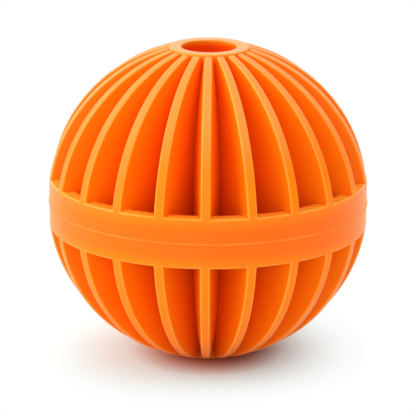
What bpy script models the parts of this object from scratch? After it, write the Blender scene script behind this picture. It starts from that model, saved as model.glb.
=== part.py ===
# Anti-tangle laundry ball: a plastic ball 70 mm across, made of two equal halves.
# Each half is one moulding: a hollow core, a ring of tapered fins that run from the seam to a
# collar at the pole, and half of the band that ties the fins together round the equator.
# The halves meet at the seam, where the pegs of one sit in the sockets of the other.
# Units are metres and +Z is up. The ball stands on its lower collar, centred on the origin.

import math

import bmesh
import bpy
from mathutils import Vector

MM = 0.001

# The ball, its fins and the V-shaped bays between them.
BALL_RADIUS = 35.2 * MM  # over the fins
FIN_COUNT = 22
FIN_WIDTH = 2.14 * MM  # just under its chamfers
FIN_TIP_WIDTH = 1.66 * MM  # the same, where it meets the collar
FIN_TAPER_START = math.radians(45)  # latitude above which a fin narrows to its tip
FIN_EDGE = 0.25 * MM  # chamfer along both edges of a fin
BAY_WALL_ANGLE = math.radians(15.5)  # each wall of a bay, from the middle of the bay
BAY_OVERCUT = 1.0 * MM  # how far a bay's cutter stands out of the ball

# The band round the equator.
BAND_HALF_HEIGHT = 5.4 * MM
BAND_WALL = 2.9 * MM
BAND_EDGE = 0.45 * MM  # radius of the band's outer edge, seen between the fins
BAND_EDGE_RELIEF = 0.03 * MM  # the rounding runs out of the band's face at a slight angle
BAND_DRAFT = math.radians(0.5)
SEAM_LIP = 0.2 * MM  # how far the fine lip along the seam stands out of the band
SEAM_LIP_HEIGHT = 0.3 * MM
SEAM_GAP = 0.3 * MM  # between the faces of the two halves

# The collar at the pole.
BORE_RADIUS = 6.0 * MM
COLLAR_WALL = 2.8 * MM
COLLAR_RISE = 0.2 * MM  # above the ends of the fins
COLLAR_EDGE = 0.3 * MM
COLLAR_DEPTH = 6.2 * MM  # from the flat of the collar to its end inside the core
FIN_END_RADIUS = 0.4 * MM  # a fin rounds off where it meets the collar
BAY_END_STEP = 0.06 * MM  # a bay ends this far short of the collar

# The hollow core.
CORE_WALL = 2.6 * MM  # under the bottom of the bays

# The pegs and the sockets, which stand in the roots of the fins.
PEG_FINS = (3, 14)  # a half has its pegs here and its sockets on the fins opposite them
PEG_RADIUS = 1.5 * MM
PEG_LENGTH = 3.6 * MM
PEG_TIP = 0.5 * MM  # chamfer
PEG_CLEARANCE = 0.3 * MM
SOCKET_SKIN = 1.3 * MM  # plastic between a socket and the hollow core

# How finely the round shapes are cut into flats.
FACETS_PER_FIN = 2
BAY_STATIONS = 9
FIN_STATIONS = 10
CORE_STATIONS = 7
ARC_STEPS = 2
PEG_FACETS = 16

ORANGE = (1.0, 0.22, 0.012, 1.0)

# Sizes that follow from the ones above.
FIN_PITCH = 2 * math.pi / FIN_COUNT
FACETS = FIN_COUNT * FACETS_PER_FIN
FRONT = -math.pi / 2  # the direction of fin 0, as an angle about Z
FACE = SEAM_GAP / 2  # height of a half's joining face over the seam plane
COLLAR_RADIUS = BORE_RADIUS + COLLAR_WALL
FIN_TOP = math.sqrt(BALL_RADIUS**2 - COLLAR_RADIUS**2)
FIN_TIP_LATITUDE = math.acos(COLLAR_RADIUS / BALL_RADIUS)
HALF_HEIGHT = FIN_TOP + COLLAR_RISE
BAND_TOP_RADIUS = math.sqrt(BALL_RADIUS**2 - BAND_HALF_HEIGHT**2)
BAND_SEAM_RADIUS = BAND_TOP_RADIUS + BAND_HALF_HEIGHT * math.tan(BAND_DRAFT)
SOCKET_RADIUS = PEG_RADIUS + PEG_CLEARANCE


def fin_width(latitude):
    """Width of a fin under its chamfers. It is even at first and narrows ever faster to the tip."""
    share = (latitude - FIN_TAPER_START) / (FIN_TIP_LATITUDE - FIN_TAPER_START)
    share = min(max(share, 0.0), 1.0)
    return FIN_WIDTH - (FIN_WIDTH - FIN_TIP_WIDTH) * share**3


def bay_mouth(latitude):
    """Half the width of a bay under its chamfers, where neighbouring fins leave it."""
    reach = (BALL_RADIUS - FIN_EDGE) * math.cos(latitude)
    return reach * math.sin(FIN_PITCH / 2 - math.asin(fin_width(latitude) / 2 / reach))


def mouth_height(latitude):
    """Height of a bay's edges over the plane that touches the ball in the middle of the bay."""
    reach = bay_mouth(latitude) + FIN_EDGE
    return math.sqrt(BALL_RADIUS**2 - reach**2) - BALL_RADIUS


def valley_radius(latitude):
    """Distance from the centre of the ball to the bottom of a bay."""
    fall = bay_mouth(latitude) / math.tan(BAY_WALL_ANGLE)
    return BALL_RADIUS + mouth_height(latitude) - FIN_EDGE - fall


def arc(centre, radius, start, end):
    """Points of an arc in a turned profile, as (radius, height), both ends included."""
    points = []
    for step in range(ARC_STEPS + 1):
        angle = math.radians(start + (end - start) * step / ARC_STEPS)
        points.append((centre[0] + radius * math.cos(angle), centre[1] + radius * math.sin(angle)))
    return points


def latitudes(first, last, count):
    return [first + (last - first) * step / (count - 1) for step in range(count)]


def add_object(name, mesh, collection):
    thing = bpy.data.objects.new(name, mesh)
    collection.objects.link(thing)
    return thing


def turned(name, profile, collection, facets=FACETS, closed=True):
    """A turned solid. Its flats, and not its corners, lie at the radii of the profile."""
    half = math.pi / facets
    start = FRONT + half
    mesh = bpy.data.meshes.new(name)
    shape = bmesh.new()
    points = []
    for radius, height in profile:
        reach = radius / math.cos(half)
        points.append(shape.verts.new((reach * math.cos(start), reach * math.sin(start), height)))
    for first, second in zip(points, points[1:]):
        shape.edges.new((first, second))
    if closed:
        shape.edges.new((points[-1], points[0]))
    shape.to_mesh(mesh)
    shape.free()
    thing = add_object(name, mesh, collection)
    screw = thing.modifiers.new("turn", "SCREW")
    screw.steps = facets
    screw.render_steps = facets
    screw.use_merge_vertices = True
    screw.merge_threshold = 0.00001
    screw.use_smooth_shade = False
    return thing


def boolean(thing, other, operation):
    modifier = thing.modifiers.new(operation.lower() + "_" + other.name, "BOOLEAN")
    modifier.operation = operation
    modifier.object = other
    modifier.solver = "EXACT"


def tube_latitude():
    """The latitude at which the inside of the core meets the collar's tube."""
    latitude = 0.0
    for _ in range(40):
        latitude = math.acos(COLLAR_RADIUS / (valley_radius(latitude) - CORE_WALL))
    return latitude


def core_profile():
    """The inside of the core, from the seam up: an even wall under the bays, then the collar's tube."""
    points = []
    for latitude in latitudes(0.0, tube_latitude(), CORE_STATIONS):
        radius = valley_radius(latitude) - CORE_WALL
        points.append((radius * math.cos(latitude), max(radius * math.sin(latitude), FACE)))
    tube_end = HALF_HEIGHT - COLLAR_DEPTH
    points.append((COLLAR_RADIUS, tube_end))
    points.append((BORE_RADIUS, tube_end))
    return points


def outer_profile():
    """The outside of a half, from the bore over the collar and the fins down to the seam."""
    collar = arc((COLLAR_RADIUS - COLLAR_EDGE, HALF_HEIGHT - COLLAR_EDGE), COLLAR_EDGE, 90, 0)
    foot = FIN_TOP - FIN_END_RADIUS
    start = COLLAR_RADIUS + FIN_END_RADIUS
    top = math.acos(start / BALL_RADIUS)
    bottom = math.asin(BAND_HALF_HEIGHT / BALL_RADIUS)
    points = [(BORE_RADIUS, HALF_HEIGHT)]
    points += collar
    points.append((COLLAR_RADIUS, foot))
    points.append((COLLAR_RADIUS + FIN_END_RADIUS * 0.3, foot + FIN_END_RADIUS * 0.6))
    for latitude in latitudes(top, bottom, FIN_STATIONS):
        points.append((BALL_RADIUS * math.cos(latitude), BALL_RADIUS * math.sin(latitude)))
    lip_top = FACE + SEAM_LIP_HEIGHT
    points.append((BAND_SEAM_RADIUS, lip_top + SEAM_LIP))
    points.append((BAND_SEAM_RADIUS + SEAM_LIP, lip_top))
    points.append((BAND_SEAM_RADIUS + SEAM_LIP, FACE))
    return points


def bay_section(latitude, bearing):
    """The seven corners of a bay's cutter at one latitude, valley first."""
    outward = Vector(
        (
            math.cos(latitude) * math.cos(bearing),
            math.cos(latitude) * math.sin(bearing),
            math.sin(latitude),
        )
    )
    across = Vector((-math.sin(bearing), math.cos(bearing), 0.0))
    wall = bay_mouth(latitude)
    mouth = wall + FIN_EDGE
    edge = BALL_RADIUS + mouth_height(latitude)
    outline = (
        (0.0, valley_radius(latitude)),
        (wall, edge - FIN_EDGE),
        (mouth, edge),
        (mouth, BALL_RADIUS + BAY_OVERCUT),
        (-mouth, BALL_RADIUS + BAY_OVERCUT),
        (-mouth, edge),
        (-wall, edge - FIN_EDGE),
    )
    return [across * side + outward * height for side, height in outline]


def bays(collection):
    """The cutter of all the bays: one tapering wedge between each two fins, lofted along the ball."""
    below_seam = -math.asin(2 * SEAM_GAP / valley_radius(0.0)) * 2
    narrowest = FIN_TIP_WIDTH / 2 / math.sin(FIN_PITCH / 2) + 2 * FIN_EDGE
    end_radius = max(COLLAR_RADIUS - COLLAR_EDGE, narrowest)
    last = math.acos(end_radius / (BALL_RADIUS + BAY_OVERCUT))
    mesh = bpy.data.meshes.new("bays")
    shape = bmesh.new()
    for bay in range(FIN_COUNT):
        bearing = FRONT + (bay + 0.5) * FIN_PITCH
        rings = []
        for latitude in latitudes(below_seam, last, BAY_STATIONS):
            rings.append([shape.verts.new(corner) for corner in bay_section(latitude, bearing)])
        sides = len(rings[0])
        for lower, upper in zip(rings, rings[1:]):
            for side in range(sides):
                following = (side + 1) % sides
                shape.faces.new((lower[side], lower[following], upper[following], upper[side]))
        shape.faces.new(list(reversed(rings[0])))
        shape.faces.new(rings[-1])
    bmesh.ops.recalc_face_normals(shape, faces=shape.faces)
    shape.to_mesh(mesh)
    shape.free()
    return add_object("bays", mesh, collection)


def band_guard(collection):
    """What the bays leave standing of the band: its wall, with the rounded edge on top."""
    outside = BALL_RADIUS + 2 * BAY_OVERCUT
    inside = BAND_TOP_RADIUS - BAND_WALL
    below = -BAND_HALF_HEIGHT
    centre = (BAND_TOP_RADIUS + BAND_EDGE_RELIEF - BAND_EDGE, BAND_HALF_HEIGHT - BAND_EDGE)
    profile = [(inside, BAND_HALF_HEIGHT)] + arc(centre, BAND_EDGE, 90, 0)
    profile += [(outside, BAND_HALF_HEIGHT - BAND_EDGE), (outside, below), (inside, below)]
    return turned("band_guard", profile, collection)


def collar_guard(collection):
    """What the bays leave standing of the collar."""
    top = BALL_RADIUS + 2 * BAY_OVERCUT
    radius = COLLAR_RADIUS + BAY_END_STEP
    profile = [(0.0, top), (radius, top), (radius, 0.0), (0.0, 0.0)]
    return turned("collar_guard", profile, collection, closed=False)


def seat_circle():
    """Radius of the circle on which the pegs and the sockets stand."""
    return valley_radius(0.0) - CORE_WALL + SOCKET_SKIN + SOCKET_RADIUS


def at_fin(thing, fin):
    bearing = FRONT + fin * FIN_PITCH
    thing.location = (seat_circle() * math.cos(bearing), seat_circle() * math.sin(bearing), 0.0)


def peg(fin, collection):
    root = FACE + PEG_LENGTH / 2
    tip = FACE - PEG_LENGTH
    profile = [
        (0.0, root),
        (PEG_RADIUS, root),
        (PEG_RADIUS, tip + PEG_TIP),
        (PEG_RADIUS - PEG_TIP, tip),
        (0.0, tip),
    ]
    thing = turned(f"peg_{fin}", profile, collection, facets=PEG_FACETS, closed=False)
    at_fin(thing, fin)
    return thing


def socket(fin, collection):
    floor = PEG_LENGTH + PEG_CLEARANCE
    profile = [(0.0, floor), (SOCKET_RADIUS, floor), (SOCKET_RADIUS, -floor), (0.0, -floor)]
    thing = turned(f"socket_{fin}", profile, collection, facets=PEG_FACETS, closed=False)
    at_fin(thing, fin)
    return thing


def half_mesh(cutters):
    """The mesh of one half, with its joining face at the seam and its collar up."""
    half = turned("half", outer_profile() + core_profile(), cutters)
    wedges = bays(cutters)
    boolean(wedges, band_guard(cutters), "DIFFERENCE")
    boolean(wedges, collar_guard(cutters), "DIFFERENCE")
    boolean(half, wedges, "DIFFERENCE")
    for fin in PEG_FINS:
        boolean(half, peg(fin, cutters), "UNION")
        boolean(half, socket(-fin % FIN_COUNT, cutters), "DIFFERENCE")
    bpy.context.view_layer.update()
    evaluated = half.evaluated_get(bpy.context.evaluated_depsgraph_get())
    return bpy.data.meshes.new_from_object(evaluated)


def orange_plastic(name):
    material = bpy.data.materials.new(name)
    material.use_nodes = True
    shader = material.node_tree.nodes["Principled BSDF"]
    shader.inputs["Base Color"].default_value = ORANGE
    shader.inputs["Roughness"].default_value = 0.42
    shader.inputs["Metallic"].default_value = 0.0
    material.diffuse_color = ORANGE
    return material


def place_half(name, mesh, turn, collection):
    """One half at the height of the seam. A turn of half a circle about Y puts its collar down."""
    mesh.name = name
    mesh.materials.clear()
    mesh.materials.append(orange_plastic(name + "_plastic"))
    mesh.shade_smooth()
    mesh.set_sharp_from_angle(angle=math.radians(30))
    thing = add_object(name, mesh, collection)
    thing.location = (0.0, 0.0, HALF_HEIGHT)
    thing.rotation_euler = (0.0, turn, 0.0)
    return thing


def new_collection(name):
    collection = bpy.data.collections.new(name)
    bpy.context.scene.collection.children.link(collection)
    return collection


def main():
    for thing in list(bpy.data.objects):
        bpy.data.objects.remove(thing)
    ball = new_collection("laundry_ball")
    cutters = new_collection("cutters")
    mesh = half_mesh(cutters)
    place_half("upper_half", mesh, 0.0, ball)
    place_half("lower_half", mesh.copy(), math.pi, ball)
    for cutter in cutters.objects:
        cutter.hide_render = True
        cutter.display_type = "WIRE"


main()
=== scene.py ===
# Orange anti-tangle laundry ball on a white studio table.
# Its two halves are drawn in mm from the sizes below and stand where the CAD halves stand.
import math

import bmesh
import bpy
import numpy as np
from mathutils import Matrix, Vector


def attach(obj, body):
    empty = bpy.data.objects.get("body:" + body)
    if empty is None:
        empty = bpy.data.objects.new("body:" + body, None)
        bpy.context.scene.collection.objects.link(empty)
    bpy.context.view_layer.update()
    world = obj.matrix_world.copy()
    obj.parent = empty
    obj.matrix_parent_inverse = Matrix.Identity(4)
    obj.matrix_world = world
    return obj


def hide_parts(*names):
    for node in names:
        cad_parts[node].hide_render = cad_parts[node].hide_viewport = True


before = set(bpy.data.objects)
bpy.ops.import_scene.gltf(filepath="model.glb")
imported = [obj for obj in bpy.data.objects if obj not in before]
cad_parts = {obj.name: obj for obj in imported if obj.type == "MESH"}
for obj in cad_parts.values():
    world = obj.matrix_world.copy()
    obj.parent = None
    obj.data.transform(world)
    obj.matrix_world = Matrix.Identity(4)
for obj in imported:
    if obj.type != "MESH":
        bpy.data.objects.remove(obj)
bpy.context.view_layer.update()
print("frame loaded:", sorted(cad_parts))

mm = 0.001
up = np.array((0.0, 0.0, 1.0))
quarter = math.pi / 2


# The ball, in mm.
ball = {
    "radius": 35.2,  # over the fins
    "finCount": 22,
    "finWidth": 2.1,  # just under the rounded edges
    "finTipWidth": 1.66,  # where a fin meets the collar
    "taperFrom": math.radians(10),  # latitude
    "taperPower": 2.5,  # a fin narrows slowly at first
    "edgeRound": 0.4,  # both edges of a fin, and the band's edges between the fins
    "wallAngle": math.radians(15.5),  # a bay's wall, from the middle of the bay
    "bandHalfHeight": 5.4,
    "bandWall": 2.9,
    "bandDraft": math.radians(0.5),
    "lipHeight": 0.18,  # of the fine lip along the seam
    "lipSpread": 0.16,  # from the seam to where the lip has fallen to a third
    "faceGap": 0.004,  # from the seam plane to the joining face of a half
    "boreRadius": 6.0,
    "boreRound": 0.25,
    "collarRadius": 8.8,
    "collarRise": 0.2,  # over the ends of the fins
    "collarRound": 0.3,
    "finEndRound": 0.4,
    "finEndFall": 1.5,  # how soon the walls of a bay stop following that rounding towards the valley
    "tubeDepth": 6.2,  # from the collar's flat to the end of its tube inside the core
    "coreWall": 2.6,  # under the foot of the bays
}
pegs = {
    "fins": (3, 14),  # sockets stand at the opposite fins
    "radius": 1.5,
    "length": 3.6,
    "chamfer": 0.5,
    "clearance": 0.3,
    "skin": 1.3,  # between a socket and the hollow core
    "steps": 10,  # facets of half a peg
}
fineness = {
    # how finely the skin is divided: counts, heights over the seam in mm and shares of a wall
    "face": 3,  # half the outer face of a fin
    "rounding": 5,
    "ledge": 3,
    "bandColumns": 7,
    "bandHeights": (0.06, 0.1, 0.13, 0.16, 0.19, 0.23, 0.3, 0.8, 1.5, 2.3, 3.2, 4.2),
    "lipRows": 6,  # rows of the band that lie on the lip, with the one at the seam
    "behindHeights": (4.4, 3.3, 2.2, 1.1),  # on the walls behind the band
    "finStarts": (5.75, 6.4, 7.4, 8.6),  # the first rows over the band
    "finRows": 22,
    "endRows": 4,
    "endGap": 0.02,  # radians from the last even row of a fin to its rounded end
    "wall": (0.12, 0.26, 0.42, 0.58, 0.73, 0.86, 0.95, 1.0),  # from a fin's edge or the ledge to the valley
    "collarRounding": 4,
    "collarFlat": 4,
    "bore": 5,
    "core": 9,
}
shade = {
    # how much wear and painted highlight, and how much depth for the painted shade, these places count in
    # the plastic's colour, beside the fins and the bays
    "lipWearAndHighlight": 0.5,
    "ledgeWearAndHighlight": 2.0,
    "collarFootWearAndHighlight": 0.5,
    "collarEdgeWearAndHighlight": 0.9,
    "collarFlatWearAndHighlight": 0.8,
    "collarFootDepth": (1.0, 0.3, 0.0),  # what is left of the bay's depth, and so of its painted shade, in each row up the collar
    # over 1, so that the bore gets the darkest painted shade
    "boreDepth": 2.0,
}
search = {
    # the bounds of the search for a point on a bay's wall
    "belowSeam": -0.02,  # latitudes in radians
    "nearPole": 1.4,
    "nearValley": 0.93,  # share of the wall
    "halvings": 46,
}

pitch = 2 * math.pi / ball["finCount"]
tipLatitude = math.acos(ball["collarRadius"] / ball["radius"])
halfHeight = math.sqrt(ball["radius"] ** 2 - ball["collarRadius"] ** 2) + ball["collarRise"]
bandHeight = ball["bandHalfHeight"]
bandTop = math.sqrt(ball["radius"] ** 2 - bandHeight**2)
bandInside = bandTop - ball["bandWall"]
edgeRound = ball["edgeRound"]
bayOut = np.array((math.sin(pitch / 2), math.cos(pitch / 2), 0.0))  # from the axis to a bay's middle
bayAcross = np.array((-math.cos(pitch / 2), math.sin(pitch / 2), 0.0))  # from there to the fin


# In a sector x runs across the fin, y away from the ball's axis and z up from the seam.
def finHalf(latitude):
    share = (latitude - ball["taperFrom"]) / (tipLatitude - ball["taperFrom"])
    share = min(max(share, 0.0), 1.0)
    return (ball["finWidth"] - (ball["finWidth"] - ball["finTipWidth"]) * share ** ball["taperPower"]) / 2


def around(radius, bearing, z):
    return np.array((radius * math.sin(bearing), radius * math.cos(bearing), z))


def beside(x, radius, z):
    return np.array((x, math.sqrt(radius**2 - x**2), z))


def skinPoint(x, latitude, depth):
    reach = ball["radius"] - depth
    return beside(x, reach * math.cos(latitude), reach * math.sin(latitude))


def bearingOf(point):
    return math.atan2(point[0], point[1])


def radiusOf(point):
    return math.hypot(point[0], point[1])


def mixed(first, second, share):
    return first + (second - first) * share


def steps(first, last, count):
    return [mixed(first, last, step / count) for step in range(count + 1)]


def solve(rising, target, low, high):
    for _ in range(search["halvings"]):
        middle = (low + high) / 2
        if rising(middle) < target:
            low = middle
        else:
            high = middle
    return (low + high) / 2


# One wall of a bay: a straight line at each latitude, from the fin's edge to the sharp valley.
def bayLine(latitude):
    edge = skinPoint(finHalf(latitude), latitude, edgeRound)
    outward = bayOut * math.cos(latitude) + up * math.sin(latitude)
    across = edge @ bayAcross
    valley = edge @ outward - across / math.tan(ball["wallAngle"])
    return edge, outward * valley, across, valley


def wallPoint(latitude, along):
    edge, foot, across, valley = bayLine(latitude)
    return mixed(edge, foot, along)


def latitudeAtHeight(column, z):
    def height(latitude):
        return wallPoint(latitude, column(latitude))[2]

    return solve(height, z, search["belowSeam"], search["nearPole"])


def latitudeAtRadius(column, radius):
    def inward(latitude):
        return -radiusOf(wallPoint(latitude, column(latitude)))

    return solve(inward, -radius, 0.0, search["nearPole"])


def wallAtHeight(column, z):
    latitude = latitudeAtHeight(column, z)
    return wallPoint(latitude, column(latitude))


def alongAtRadius(radius, z):
    def inward(along):
        return -radiusOf(wallAtHeight(lambda latitude: along, z))

    return solve(inward, -radius, 0.0, search["nearValley"])


class Sheets:
    # Points, faces, wear with painted highlight, and depth of half a sector, from the middle of a fin to
    # the middle of a bay.
    # The depth is 1 at the foot of a bay, 0 at a fin's edge, -1 on the outside and more in the bore; the
    # plastic's painted shade follows it.
    def __init__(self):
        self.points = []
        self.wearAndHighlight = []
        self.deep = []
        self.faces = []

    def add(self, points, wearAndHighlights, deeps):
        first = len(self.points)
        self.points.extend(points)
        self.wearAndHighlight.extend(wearAndHighlights)
        self.deep.extend(deeps)
        return list(range(first, len(self.points)))

    def grid(self, rows, wearAndHighlightAt=None, deepAt=None):
        numbers = []
        for i, row in enumerate(rows):
            wearAndHighlights = [wearAndHighlightAt(i, j) if wearAndHighlightAt else 0.0 for j in range(len(row))]
            deeps = [deepAt(i, j) if deepAt else 0.0 for j in range(len(row))]
            numbers.append(self.add(row, wearAndHighlights, deeps))
        for lower, upper in zip(numbers, numbers[1:]):
            for j in range(len(lower) - 1):
                self.faces.append((lower[j], lower[j + 1], upper[j + 1], upper[j]))

    def plate(self, outline):
        self.faces.append(tuple(self.add(outline, [0.0] * len(outline), [1.0] * len(outline))))


def bandLine(z):
    # the outside of the band, with the lip that runs along the seam
    lip = ball["lipHeight"] * math.exp(-((z / ball["lipSpread"]) ** 4))
    return bandTop + (bandHeight - z) * math.tan(ball["bandDraft"]) + lip


def wearAndHighlightOverEdge(turn):
    # wear and painted highlight over a rounded edge, from one face to the other
    return math.sqrt(max(math.sin(turn * 2), 0.0))


def buildSector():
    sheets = Sheets()
    sector = {"sheets": sheets}
    faceCount, roundCount, ledgeCount = fineness["face"], fineness["rounding"], fineness["ledge"]
    columns = fineness["bandColumns"]
    turns = steps(0.0, quarter, roundCount)

    def acrossFace(latitude):
        return steps(0.0, finHalf(latitude) - edgeRound, faceCount)

    def toBay(bearing, radius, z):
        return [around(radius, b, z) for b in steps(bearing, pitch / 2, columns)]

    # the outside of the band
    start = bandHeight - edgeRound
    gap = ball["faceGap"]
    rows = []
    for z in (gap, *fineness["bandHeights"], start):
        radius = bandLine(z)
        face = [beside(x, radius, z) for x in acrossFace(0.0)]
        rows.append(face[:-1] + toBay(bearingOf(face[-1]), radius, z))
    # the rows on the lip get wear and a painted highlight along the seam
    sheets.grid(rows, lambda i, j: shade["lipWearAndHighlight"] if i < fineness["lipRows"] else 0.0, lambda i, j: -1.0)
    sector["seamRim"] = rows[0]

    # the band's rounded edge between the fins, from the mitre with the fin's own rounding
    mitre = []
    rows = []
    for k, turn in enumerate(turns):
        x = finHalf(0.0) - edgeRound + edgeRound * math.sin(turn)
        z = start + edgeRound * math.sin(turn)
        radius = bandLine(z) - edgeRound * (1 - math.cos(turn))
        point = beside(x, radius, z)
        if k == roundCount:
            point = wallAtHeight(lambda latitude: 0.0, bandHeight)
            radius = radiusOf(point)
        mitre.append(point)
        rows.append(toBay(bearingOf(point), radius, z))
    # wear and a painted highlight over the band's edge, rising to the ledge's
    sheets.grid(
        rows, lambda i, j: max(wearAndHighlightOverEdge(turns[i]), shade["ledgeWearAndHighlight"] * i / roundCount),
        lambda i, j: -math.cos(turns[i]))

    # rows of the fins: latitudes at first, then the rounded end at the collar
    endRound = ball["finEndRound"]
    endTurns = steps(0.0, quarter, fineness["endRows"])
    endRows = [
        (ball["collarRadius"] + endRound * (1 - math.sin(turn)), endRound * (1 - math.cos(turn)))
        for turn in endTurns
    ]
    firstEnd = math.acos(endRows[0][0] / (ball["radius"] - edgeRound))
    starts = [math.asin(z / ball["radius"]) for z in fineness["finStarts"]]
    latitudes = starts[:-1] + steps(starts[-1], firstEnd - fineness["endGap"], fineness["finRows"])

    # the outside of the fins, flat columns first and then the rounded edge
    rows = [[beside(x, bandLine(start), start) for x in acrossFace(0.0)] + mitre[1:]]
    for latitude in latitudes:
        flat = [skinPoint(x, latitude, 0.0) for x in acrossFace(latitude)]
        middle = finHalf(latitude) - edgeRound
        rounded = [
            skinPoint(middle + edgeRound * math.sin(turn), latitude, edgeRound * (1 - math.cos(turn)))
            for turn in turns[1:]
        ]
        rows.append(flat + rounded)
    for radius, drop in endRows:
        row = []
        depths = [0.0] * (faceCount + 1) + [edgeRound * (1 - math.cos(turn)) for turn in turns[1:]]
        for j, depth in enumerate(depths):
            reach = ball["radius"] - depth - drop
            half = finHalf(math.acos(radius / (ball["radius"] - depth)))
            if j <= faceCount:
                x = (half - edgeRound) * j / faceCount
            else:
                x = half - edgeRound + edgeRound * math.sin(turns[j - faceCount])
            row.append(beside(x, radius, math.sqrt(reach**2 - radius**2)))
        rows.append(row)
    lastLevel = len(rows) - 1 - fineness["endRows"]

    def finWearAndHighlight(i, j):
        side = wearAndHighlightOverEdge(turns[j - faceCount]) if j > faceCount else 0.0
        end = math.sin(endTurns[i - lastLevel] * 2) if i > lastLevel else 0.0
        return max(side, end)

    def finDeep(i, j):
        # -1 on the outer face, 0 where the bay's wall begins
        side = math.cos(turns[j - faceCount]) if j > faceCount else 1.0
        return -side if i <= lastLevel else 0.0

    sheets.grid(rows, finWearAndHighlight, finDeep)
    finEdge = [row[-1] for row in rows]
    finEnd = rows[-1]

    # the ledge on top of the band's wall
    depths = steps(radiusOf(mitre[-1]), bandInside, ledgeCount)
    ledgeAlong = [0.0] + [alongAtRadius(radius, bandHeight) for radius in depths[1:]]
    rows = []
    for radius, along in zip(depths, ledgeAlong):
        wall = wallAtHeight(lambda latitude: along, bandHeight)
        rows.append(toBay(bearingOf(wall), radiusOf(wall), bandHeight))
    # the ledge is painted paler: a strong painted highlight, with some wear
    sheets.grid(rows, lambda i, j: shade["ledgeWearAndHighlight"])

    # the walls of the bay above the ledge
    inner = ledgeAlong[-1]

    def wallColumns(first):
        return [lambda latitude, share=share: mixed(first, 1.0, share) for share in fineness["wall"]]

    wide = [lambda latitude, along=along: along for along in ledgeAlong] + wallColumns(inner)
    lows = [latitudeAtHeight(column, bandHeight) for column in wide]
    highs = [latitudeAtRadius(column, endRows[0][0]) for column in wide]
    rows = [[wallPoint(low, column(low)) for column, low in zip(wide, lows)]]
    deeps = [[column(low) for column, low in zip(wide, lows)]]
    for latitude in latitudes:
        share = (latitude - lows[0]) / (highs[0] - lows[0])
        places = [mixed(low, high, share) for low, high in zip(lows, highs)]
        rows.append([wallPoint(place, column(place)) for column, place in zip(wide, places)])
        deeps.append([column(place) for column, place in zip(wide, places)])
    for radius, drop in endRows:
        row = []
        places = [latitudeAtRadius(column, radius) for column in wide]
        fall = wallPoint(places[0], 0.0)[2] - finEdge[len(rows)][2]
        for column, place in zip(wide, places):
            share = (1 - column(place)) ** ball["finEndFall"]
            row.append(wallPoint(place, column(place)) - up * fall * share)
        rows.append(row)
        deeps.append([column(place) for column, place in zip(wide, places)])
    sheets.grid(rows, None, lambda i, j: deeps[i][j])
    bayEnd = rows[-1]
    bayEndDeep = deeps[-1]

    # the walls behind the band, down to the seam, and the inside of the band
    rows = []
    behindDeeps = []
    behind = []
    for z in (bandHeight, *fineness["behindHeights"], gap):
        first = inner if z == bandHeight else alongAtRadius(bandInside, z)
        row = [wallAtHeight(lambda latitude: first, z)]
        row += [wallAtHeight(column, z) for column in wallColumns(first)]
        rows.append(row)
        behindDeeps.append([first] + [column(0.0) for column in wallColumns(first)])
        behind.append(toBay(bearingOf(row[0]), bandInside, z))
    sheets.grid(rows, None, lambda i, j: behindDeeps[i][j])
    sheets.grid(behind, None, lambda i, j: 1.0)
    sector["seamWall"] = rows[-1]
    sector["seamBand"] = behind[-1]

    # the collar and the bore: each point at the foot of the collar is turned into a profile
    foot = finEnd + bayEnd[1:]
    footDeep = [0.0] * len(finEnd) + bayEndDeep[1:]
    top = halfHeight
    rounding = ball["collarRound"]
    boreRound = ball["boreRound"]
    outside, bore = ball["collarRadius"], ball["boreRadius"]
    tubeEnd = top - ball["tubeDepth"]
    roundTurns = steps(0.0, quarter, fineness["collarRounding"])
    # the collar's rim and flat get wear and a painted highlight
    edgesWearAndHighlight, flatWearAndHighlight = shade["collarEdgeWearAndHighlight"], shade["collarFlatWearAndHighlight"]
    profile = []
    for turn in roundTurns[1:]:
        radius = outside - rounding * (1 - math.cos(turn))
        profile.append((radius, top - rounding * (1 - math.sin(turn)), edgesWearAndHighlight, 0.0))
    for radius in steps(outside - rounding, bore + boreRound, fineness["collarFlat"])[1:-1]:
        profile.append((radius, top, flatWearAndHighlight, 0.0))
    for turn in roundTurns:
        radius = bore + boreRound * (1 - math.sin(turn))
        profile.append((radius, top - boreRound * (1 - math.cos(turn)), flatWearAndHighlight, 0.0))
    for z in steps(top - boreRound, tubeEnd, fineness["bore"])[1:]:
        profile.append((bore, z, 0.0, shade["boreDepth"]))
    profile += insideProfile(tubeEnd)
    skirt = []
    for share in (0.0, 0.5, 1.0):
        skirt.append([beside(p[0], outside, mixed(p[2], top - rounding, share)) for p in foot])
    rows = skirt + [[around(radius, bearingOf(p), z) for p in foot] for radius, z, wearAndHighlight, deep in profile]
    wearAndHighlights = [0.0, 0.0, shade["collarFootWearAndHighlight"]] + [wearAndHighlight for radius, z, wearAndHighlight, deep in profile]
    inward = [deep for radius, z, wearAndHighlight, deep in profile]

    def collarDeep(i, j):
        return footDeep[j] * shade["collarFootDepth"][i] if i < len(skirt) else inward[i - len(skirt)]

    sheets.grid(rows, lambda i, j: wearAndHighlights[i], collarDeep)
    sector["seamCore"] = rows[-1]
    return sector


def insideProfile(tubeEnd):
    # the end of the collar's tube and the inside of the core, down to the seam
    def coreRadius(latitude):
        return bayLine(latitude)[3] - ball["coreWall"]

    def inward(latitude):
        return -coreRadius(latitude) * math.cos(latitude)

    last = solve(inward, -ball["collarRadius"], 0.0, search["nearPole"])
    tubeRadii = steps(ball["boreRadius"], ball["collarRadius"], 2)[1:]
    points = [(radius, tubeEnd, 0.0, 1.0) for radius in tubeRadii]
    for latitude in steps(last, 0.0, fineness["core"]):
        radius = coreRadius(latitude)
        z = max(radius * math.sin(latitude), ball["faceGap"])
        points.append((radius * math.cos(latitude), z, 0.0, 1.0))
    return points


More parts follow.
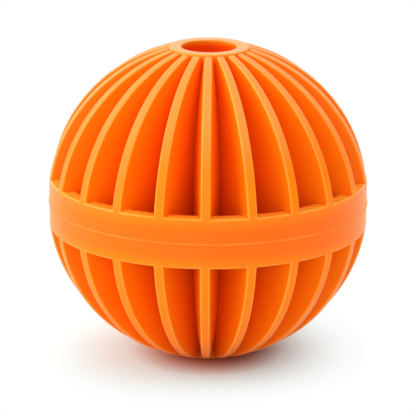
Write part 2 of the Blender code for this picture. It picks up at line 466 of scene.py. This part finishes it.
def seamFace(sector, kind):
    # the joining face of half a sector, flat at the seam, with half a peg or half a socket in it
    sheets = Sheets()
    outline = list(sector["seamRim"]) + list(reversed(sector["seamBand"]))[:-1]
    outline += list(sector["seamWall"]) + list(reversed(sector["seamCore"]))
    if kind != "plain":
        z = ball["faceGap"]
        socketRadius = pegs["radius"] + pegs["clearance"]
        seat = bayLine(0.0)[3] - ball["coreWall"] + pegs["skin"] + socketRadius
        radius = pegs["radius"] if kind == "peg" else socketRadius

        def ring(reach, level):
            angles = steps(-quarter, quarter, pegs["steps"])
            return [np.array((reach * math.cos(a), seat + reach * math.sin(a), level)) for a in angles]

        if kind == "peg":
            tip = z - pegs["length"]
            levels = [(radius, z), (radius, tip + pegs["chamfer"]), (radius - pegs["chamfer"], tip)]
        else:
            levels = [(radius, z), (radius, z + pegs["length"] + pegs["clearance"])]
        rings = [ring(reach, level) for reach, level in levels]
        sheets.grid(rings)
        sheets.plate(rings[-1])
        outline += rings[0]
    sheets.plate(outline)
    return sheets


weldReach = 0.003 * mm
sharpAngle = math.radians(35)


def buildHalf(name):
    # every fin's sector twice, the second time mirrored, and all of it welded into one skin
    sector = buildSector()
    seams = {kind: seamFace(sector, kind) for kind in ("plain", "peg", "socket")}
    verts, wearAndHighlight, deep, faces = [], [], [], []
    for fin in range(ball["finCount"]):
        kind = "plain"
        if fin in pegs["fins"]:
            kind = "peg"
        if -fin % ball["finCount"] in pegs["fins"]:
            kind = "socket"
        bearing = -quarter + fin * pitch
        away = np.array((math.cos(bearing), math.sin(bearing), 0.0))
        aside = np.array((-math.sin(bearing), math.cos(bearing), 0.0))
        for sheets in (sector["sheets"], seams[kind]):
            local = np.array(sheets.points)
            for side in (1, -1):
                placed = np.outer(local[:, 0] * side, aside) + np.outer(local[:, 1], away)
                offset = len(wearAndHighlight)
                verts.append(placed + np.outer(local[:, 2], up))
                wearAndHighlight.extend(sheets.wearAndHighlight)
                deep.extend(sheets.deep)
                faces.extend(tuple(offset + v for v in face) for face in sheets.faces)
    mesh = bpy.data.meshes.new(name)
    mesh.from_pydata((np.concatenate(verts) * mm).tolist(), [], faces)
    for field, values in (("edgesWearAndHighlight", wearAndHighlight), ("depth", deep)):
        mesh.attributes.new(field, "FLOAT", "POINT").data.foreach_set("value", values)
    shape = bmesh.new()
    shape.from_mesh(mesh)
    bmesh.ops.remove_doubles(shape, verts=shape.verts, dist=weldReach)
    bmesh.ops.recalc_face_normals(shape, faces=shape.faces)
    loose = [edge for edge in shape.edges if len(edge.link_faces) != 2]
    print(name, len(shape.faces), "faces,", len(loose), "open edges")
    shape.to_mesh(mesh)
    shape.free()
    return mesh


def placeHalf(mesh, name, turn, node):
    mesh.transform(Matrix.Translation((0, 0, halfHeight * mm)) @ Matrix.Rotation(turn, 4, "Y"))
    mesh.shade_smooth()
    mesh.set_sharp_from_angle(angle=sharpAngle)
    piece = bpy.data.objects.new(name, mesh)
    bpy.context.scene.collection.objects.link(piece)
    even = piece.modifiers.new("evenShading", "WEIGHTED_NORMAL")
    even.keep_sharp = True
    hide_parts(node)
    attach(piece, "root")
    return piece


# Shader building.
class Wire:
    # a node's output; arithmetic on it adds Math nodes
    def __init__(self, board, socket):
        self.board = board
        self.socket = socket

    def math(self, operation, first, second):
        return self.board.node("ShaderNodeMath", {"operation": operation}, {0: first, 1: second})

    def __add__(self, other): return self.math("ADD", self, other)
    def __radd__(self, other): return self.math("ADD", other, self)
    def __sub__(self, other): return self.math("SUBTRACT", self, other)
    def __rsub__(self, other): return self.math("SUBTRACT", other, self)
    def __mul__(self, other): return self.math("MULTIPLY", self, other)
    def __rmul__(self, other): return self.math("MULTIPLY", other, self)


class Board:
    def __init__(self, owner):
        owner.use_nodes = True
        self.tree = owner.node_tree
        self.tree.nodes.clear()

    def node(self, kind, settings=None, sockets=None, out=0):
        made = self.tree.nodes.new(kind)
        for key, value in (settings or {}).items():
            setattr(made, key, value)
        for key, value in (sockets or {}).items():
            if isinstance(value, Wire):
                self.tree.links.new(value.socket, made.inputs[key])
            else:
                made.inputs[key].default_value = value
        return Wire(self, made.outputs[out]) if made.outputs else None

    def mixColour(self, share, first, second):
        return self.node("ShaderNodeMix", {"data_type": "RGBA"}, {0: share, 6: first, 7: second}, 2)

    def noise(self, place, scale, detail, roughness):
        sockets = {"Vector": place, "Scale": scale, "Detail": detail, "Roughness": roughness}
        return self.node("ShaderNodeTexNoise", None, sockets)

    def smooth(self, value, first, last):
        # rises from 0 to 1 between two values
        sockets = {"Value": value, "From Min": first, "From Max": last}
        return self.node("ShaderNodeMapRange", {"interpolation_type": "SMOOTHSTEP"}, sockets)

    def vector(self, operation, first, second):
        return self.node("ShaderNodeVectorMath", {"operation": operation}, {0: first, 1: second}, "Value")

    def ray(self, kind):
        return self.node("ShaderNodeLightPath", None, None, kind)


plastic = {
    "body": (1.0, 0.2, 0.002, 1.0),  # the walls of the bays
    "band": (1.0, 0.14, 0.001, 1.0),
    "fin": (1.0, 0.216, 0.001, 1.0),  # the outer faces of the fins
    "finFrom": 2.2 * mm,  # from the seam; the band's colour ends and the fins' begins between these
    "finTo": 5.8 * mm,
    "high": (1.0, 0.275, 0.045, 1.0),  # painted highlight: the fins fade to this paler colour on the upper half
    "paintedHighlightFrom": 12.0 * mm,  # over the seam
    "paintedHighlightTo": 26.0 * mm,
    "deep": (1.0, 0.145, 0.002, 1.0),  # painted shade at the foot of a bay
    "pit": (1.0, 0.065, 0.001, 1.0),  # painted shade in the bore
    "deepPower": 0.7,
    "paler": (1.0, 0.25, 0.006, 1.0),  # in clouds
    "palerShare": 0.12,
    "wearAndHighlightColour": (1.0, 0.42, 0.03, 1.0),  # at worn places and as a painted highlight on the edges, the ledge, the lip and the collars, unevenly
    "wearAndHighlightColourShare": 0.6,
    "wearAndHighlightLeast": 0.1,
    "wearAndHighlightCloud": 1.3,
    "roughness": 0.34,
    "cloudRoughness": 0.08,
    "grainRoughness": 0.08,
    "rubbedRoughness": -0.05,
    "ior": 1.5,
    "specular": 0.07,
    "polish": 0.95,  # a coat where the mould was polished: the edges, the lip and the collars
    "facePolish": 0.42,
    "polishRoughness": 0.28,
    "polishIor": 1.25,
    "sheen": 0.6,  # on the band only, whose ends look pink without it; the export leaves it out
    "sheenRoughness": 0.45,
    "sheenColour": (1.0, 0.55, 0.06, 1.0),
    "cloud": {"scale": 55.0, "detail": 3.0, "roughness": 0.55},
    "grain": {"scale": 3600.0, "detail": 2.0, "roughness": 0.5},
    "grainDepth": 0.012 * mm,
    "grainShare": 0.35,
}


def orangePlastic(name, shift):
    material = bpy.data.materials.new(name)
    board = Board(material)
    spot = board.node("ShaderNodeTexCoord", None, None, "Object")
    height = board.node("ShaderNodeSeparateXYZ", None, {0: spot}, "Z")
    place = board.node("ShaderNodeMapping", None, {"Vector": spot, "Location": shift})
    cloud = board.noise(place, **plastic["cloud"])
    grain = board.noise(place, **plastic["grain"])
    wearAndHighlight = board.node("ShaderNodeAttribute", {"attribute_name": "edgesWearAndHighlight"}, None, "Fac")
    depth = board.node("ShaderNodeAttribute", {"attribute_name": "depth"}, None, "Fac")
    face = depth.math("MAXIMUM", depth * -1.0, 0.0)
    paintedShadeDepth = depth.math("MAXIMUM", depth, 0.0)
    # paler where worn and as a painted highlight
    wearAndHighlightMix = wearAndHighlight * (cloud * plastic["wearAndHighlightCloud"] + plastic["wearAndHighlightLeast"]) * plastic["wearAndHighlightColourShare"]
    level = height - halfHeight * mm
    outside = board.smooth(level.math("ABSOLUTE", level, 0.0), plastic["finFrom"], plastic["finTo"])
    colour = board.mixColour(outside, plastic["band"], plastic["fin"])
    colour = board.mixColour(face, plastic["body"], colour)
    # painted highlight on the upper fins
    high = board.smooth(level, plastic["paintedHighlightFrom"], plastic["paintedHighlightTo"])
    colour = board.mixColour(high * face, colour, plastic["high"])
    colour = board.mixColour(cloud * plastic["palerShare"], colour, plastic["paler"])
    colour = board.mixColour(wearAndHighlightMix, colour, plastic["wearAndHighlightColour"])
    # painted shade in the bays, darkest in the bore
    colour = board.mixColour(paintedShadeDepth.math("POWER", paintedShadeDepth, plastic["deepPower"]), colour, plastic["deep"])
    colour = board.mixColour(paintedShadeDepth - 1, colour, plastic["pit"])
    roughness = plastic["roughness"] + wearAndHighlight * plastic["rubbedRoughness"]
    roughness = roughness + (cloud - 0.5) * plastic["cloudRoughness"]
    roughness = roughness + (grain - 0.5) * plastic["grainRoughness"]
    bump = board.node(
        "ShaderNodeBump", None,
        {"Strength": plastic["grainShare"], "Distance": plastic["grainDepth"], "Height": grain}, "Normal")
    shader = board.node("ShaderNodeBsdfPrincipled", None, {
        "Base Color": colour, "Roughness": roughness, "Normal": bump,
        "IOR": plastic["ior"], "Specular IOR Level": plastic["specular"],
        "Coat Weight": wearAndHighlight * plastic["polish"] + face * plastic["facePolish"],
        "Coat Roughness": plastic["polishRoughness"], "Coat IOR": plastic["polishIor"],
        "Sheen Weight": face * (1 - outside) * plastic["sheen"],
        "Sheen Roughness": plastic["sheenRoughness"], "Sheen Tint": plastic["sheenColour"],
    })
    board.node("ShaderNodeOutputMaterial", None, {"Surface": shader})
    return material


# the clouds and the grain start elsewhere on each half
shiftOf = {"upper": (0.0, 0.0, 0.0), "lower": (0.37, 0.11, 0.23)}
upperMesh = buildHalf("upperHalfShell")
lowerMesh = upperMesh.copy()
upperPiece = placeHalf(upperMesh, "upper_half_shell", 0.0, "upper_half")
lowerPiece = placeHalf(lowerMesh, "lower_half_shell", math.pi, "lower_half")
upperPiece.data.materials.append(orangePlastic("orangePlasticUpper", shiftOf["upper"]))
lowerPiece.data.materials.append(orangePlastic("orangePlasticLower", shiftOf["lower"]))
print("both halves stand")


# Table, light and camera, in metres.
table = {
    "size": 8.0,
    "seenColour": (0.75, 1.0, 1.0, 1.0),  # cooled against the orange light that the ball throws on it
    "paintedShadowColour": (0.62, 0.22, 0.1, 1.0),  # painted shadow close under the ball
    "paintedShadowCentre": (0.0, -3.0 * mm, 0.0),
    "paintedShadowFrom": 6.0 * mm,
    "paintedShadowTo": 17.0 * mm,
    "whiteCentre": (-6.0 * mm, 0.0, 0.0),  # the camera sees the table fade to plain white away from here
    "whiteFrom": 16.0 * mm,
    "whiteTo": 48.0 * mm,
    "white": (1.0, 1.0, 1.0, 1.0),
    "mirrorColour": (0.6, 0.6, 0.6, 1.0),  # what reflections show: under this light it is plain white
    "bounceColour": (0.85, 0.85, 0.85, 1.0),  # what the ball's diffuse light comes back from
}


def buildTable():
    mesh = bpy.data.meshes.new("table")
    half = table["size"] / 2
    corners = [(-half, -half, 0), (half, -half, 0), (half, half, 0), (-half, half, 0)]
    mesh.from_pydata(corners, [], [(0, 1, 2, 3)])
    floor = bpy.data.objects.new("table", mesh)
    bpy.context.scene.collection.objects.link(floor)
    material = bpy.data.materials.new("whiteTable")
    board = Board(material)
    seen = board.ray("Is Camera Ray")
    mirrored = seen.math("MAXIMUM", board.ray("Is Glossy Ray"), board.ray("Is Transmission Ray"))
    colour = board.mixColour(mirrored, table["bounceColour"], table["mirrorColour"])
    spot = board.node("ShaderNodeTexCoord", None, None, "Object")
    # painted shadow under the ball, seen by the camera
    paintedShadowReach = board.vector("DISTANCE", spot, table["paintedShadowCentre"])
    clear = board.node(
        "ShaderNodeMapRange", None,
        {"Value": paintedShadowReach, "From Min": table["paintedShadowFrom"], "From Max": table["paintedShadowTo"]})
    seenColour = board.mixColour(clear, table["paintedShadowColour"], table["seenColour"])
    colour = board.mixColour(seen, colour, seenColour)
    shaded = board.node("ShaderNodeBsdfDiffuse", None, {"Color": colour})
    plain = board.node("ShaderNodeEmission", None, {"Color": table["white"], "Strength": 1.0})
    aside = board.vector("DISTANCE", spot, table["whiteCentre"])
    white = board.smooth(aside, table["whiteFrom"], table["whiteTo"]) * seen.math("MAXIMUM", seen, mirrored)
    shader = board.node("ShaderNodeMixShader", None, {0: white, 1: shaded, 2: plain})
    board.node("ShaderNodeOutputMaterial", None, {"Surface": shader})
    mesh.materials.append(material)


light = {
    # soft light from the sky, strongest towards each "to" and narrower the higher the power
    "lobes": [
        {"to": (-0.9, -0.1, 0.42), "power": 8.0, "strength": 5.1},
        {"to": (-0.66, -0.66, 0.34), "power": 8.0, "strength": 0.3},
        {"to": (0.0, -1.0, 0.08), "power": 10.0, "strength": 1.15},
        {"to": (0.0, -0.87, 0.5), "power": 8.0, "strength": 1.0},
        {"to": (0.0, -0.55, 0.83), "power": 20.0, "strength": 0.4},
        {"to": (0.5, -0.1, 0.87), "power": 8.0, "strength": 2.4},
        {"to": (0.0, 0.7, 0.7), "power": 8.0, "strength": 3.0},
    ],
    "backdrop": (0.0, 1.0, 0.0),  # behind the ball; reflections show its white that way
    "backdropEdge": 0.5,
    "white": (1.0, 1.0, 1.0, 1.0),
}


def buildWorld():
    world = bpy.data.worlds.new("studio")
    bpy.context.scene.world = world
    board = Board(world)
    toSky = board.node("ShaderNodeTexCoord", None, None, "Generated")
    glow = 0.0
    for lobe in light["lobes"]:
        facing = board.vector("DOT_PRODUCT", toSky, Vector(lobe["to"]).normalized())
        facing = facing.math("MAXIMUM", facing, 0.0)
        glow = glow + facing.math("POWER", facing, lobe["power"]) * lobe["strength"]
    behind = board.smooth(board.vector("DOT_PRODUCT", toSky, light["backdrop"]), 0.0, light["backdropEdge"])
    shown = behind.math("MAXIMUM", board.ray("Is Camera Ray"), board.ray("Is Transmission Ray"))
    shown = shown.math("MAXIMUM", shown, board.ray("Is Glossy Ray") * behind)
    strength = glow * (1 - shown) + shown
    background = board.node("ShaderNodeBackground", None, {"Color": light["white"], "Strength": strength})
    board.node("ShaderNodeOutputWorld", None, {"Surface": background})


view = {
    "aim": (0.0, 0.0, 0.03205),
    "distance": 0.56,
    "elevation": math.radians(16.35),
    "swing": math.radians(0.87),  # the front fin is seen turned a little to the left
    "roll": math.radians(0.38),
    "lens": 220.0,
    "sensor": 36.0,
    "clipStart": 0.01,
}


def buildCamera():
    camera = bpy.data.cameras.new("camera")
    camera.lens = view["lens"]
    camera.sensor_width = view["sensor"]
    camera.clip_start = view["clipStart"]
    thing = bpy.data.objects.new("camera", camera)
    bpy.context.scene.collection.objects.link(thing)
    level, rise = math.cos(view["elevation"]), math.sin(view["elevation"])
    back = Vector((level * math.sin(view["swing"]), -level * math.cos(view["swing"]), rise))
    thing.location = Vector(view["aim"]) + back * view["distance"]
    turned = back.to_track_quat("Z", "Y").to_matrix() @ Matrix.Rotation(view["roll"], 3, "Z")
    thing.rotation_euler = turned.to_euler()
    bpy.context.scene.camera = thing


buildTable()
buildWorld()
buildCamera()
bpy.context.scene.view_settings.view_transform = "Standard"
print("table, light and camera set")
